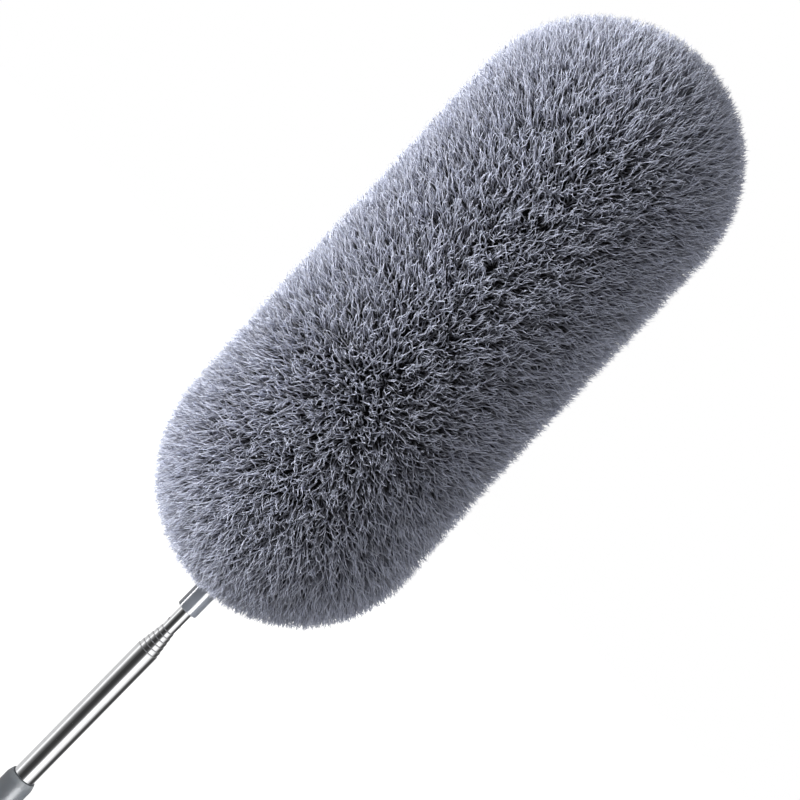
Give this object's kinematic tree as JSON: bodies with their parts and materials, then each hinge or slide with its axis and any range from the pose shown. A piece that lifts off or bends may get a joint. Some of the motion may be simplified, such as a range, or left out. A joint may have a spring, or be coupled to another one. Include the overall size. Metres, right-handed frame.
{
  "type": "extendable feather duster",
  "caption": "Long-reach duster: a telescopic steel pole with a grip and hanging cap, and a push-on bendable head covered in soft fibres.",
  "frame": {"origin": "on the pole's axis, half way up the grip, where a hand holds it", "axes": "+Z along the pole towards the head, +Y out of the hanging tab's face, and the head leans towards -X"},
  "size_m": [0.186, 0.1815, 0.7683],
  "materials": {
    "chrome_tube": "bright chromed steel tube",
    "grip_grey": "satin grey plastic",
    "cap_grey": "satin dark grey plastic",
    "connector_grey": "glossy slate grey plastic",
    "glide_white": "plain white plastic",
    "bush_black": "plain black plastic",
    "pin_steel": "bright drawn steel",
    "wire_steel": "galvanised steel wire",
    "fibre_slate": "soft crimped synthetic fibre"
  },
  "bodies": {
    "handle": {"grip_sleeve": "grip_grey", "hanging_cap": "cap_grey", "tube_1": "chrome_tube", "end_plug": "glide_white"},
    "section_2": {"tube_2": "chrome_tube", "glide_2": "glide_white"},
    "section_3": {"tube_3": "chrome_tube", "glide_3": "glide_white"},
    "section_4": {"tube_4": "chrome_tube", "glide_4": "glide_white"},
    "section_5": {"tube_5": "chrome_tube", "glide_5": "glide_white"},
    "section_6": {"tube_6": "chrome_tube", "glide_6": "glide_white"},
    "section_7": {"tube_7": "chrome_tube", "glide_7": "glide_white", "stop_pin": "pin_steel", "tip_plug": "glide_white"},
    "head": {"connector_sleeve": "connector_grey", "connector_bush": "bush_black", "ferrule": "pin_steel", "core_1": "wire_steel", "pile_1": "fibre_slate"},
    "head_2": {"core_2": "wire_steel", "pile_2": "fibre_slate"},
    "head_3": {"core_3": "wire_steel", "pile_3": "fibre_slate"},
    "head_4": {"core_4": "wire_steel", "pile_4": "fibre_slate", "tip_bead": "bush_black"}
  },
  "joints": [
    {"name": "slide_2", "type": "slide", "parent": "handle", "child": "section_2", "axis": [0, 0, 1], "range_m": [0, 0.2166]},
    {"name": "slide_3", "type": "slide", "parent": "section_2", "child": "section_3", "axis": [0, 0, 1], "range_m": [0, 0.2166]},
    {"name": "slide_4", "type": "slide", "parent": "section_3", "child": "section_4", "axis": [0, 0, 1], "range_m": [0, 0.2166]},
    {"name": "slide_5", "type": "slide", "parent": "section_4", "child": "section_5", "axis": [0, 0, 1], "range_m": [0, 0.2166]},
    {"name": "slide_6", "type": "slide", "parent": "section_5", "child": "section_6", "axis": [0, 0, 1], "range_m": [0, 0.2166]},
    {"name": "slide_7", "type": "slide", "parent": "section_6", "child": "section_7", "axis": [0, 0, 1], "range_m": [0, 0.2166]},
    {"name": "head_release", "type": "slide", "parent": "section_7", "child": "head", "axis": [0, 0, 1], "range_m": [0, 0.04]},
    {"name": "bend_1", "type": "hinge", "parent": "head", "child": "head_2", "pos_m": [-0.00129, 0, 0.32458], "axis": [0, 1, 0], "range_deg": [-30, 30], "deforming": ["pile_1", "pile_2"]},
    {"name": "bend_2", "type": "hinge", "parent": "head_2", "child": "head_3", "pos_m": [-0.00506, 0, 0.45953], "axis": [0, 1, 0], "range_deg": [-30, 30], "deforming": ["pile_3"]},
    {"name": "bend_3", "type": "hinge", "parent": "head_3", "child": "head_4", "pos_m": [-0.00883, 0, 0.59448], "axis": [0, 1, 0], "range_deg": [-30, 30], "deforming": ["pile_4"]}
  ],
  "couplings": [
    {"joint": "bend_2", "follows": "bend_1", "ratio": 1},
    {"joint": "bend_3", "follows": "bend_1", "ratio": 1}
  ]
}
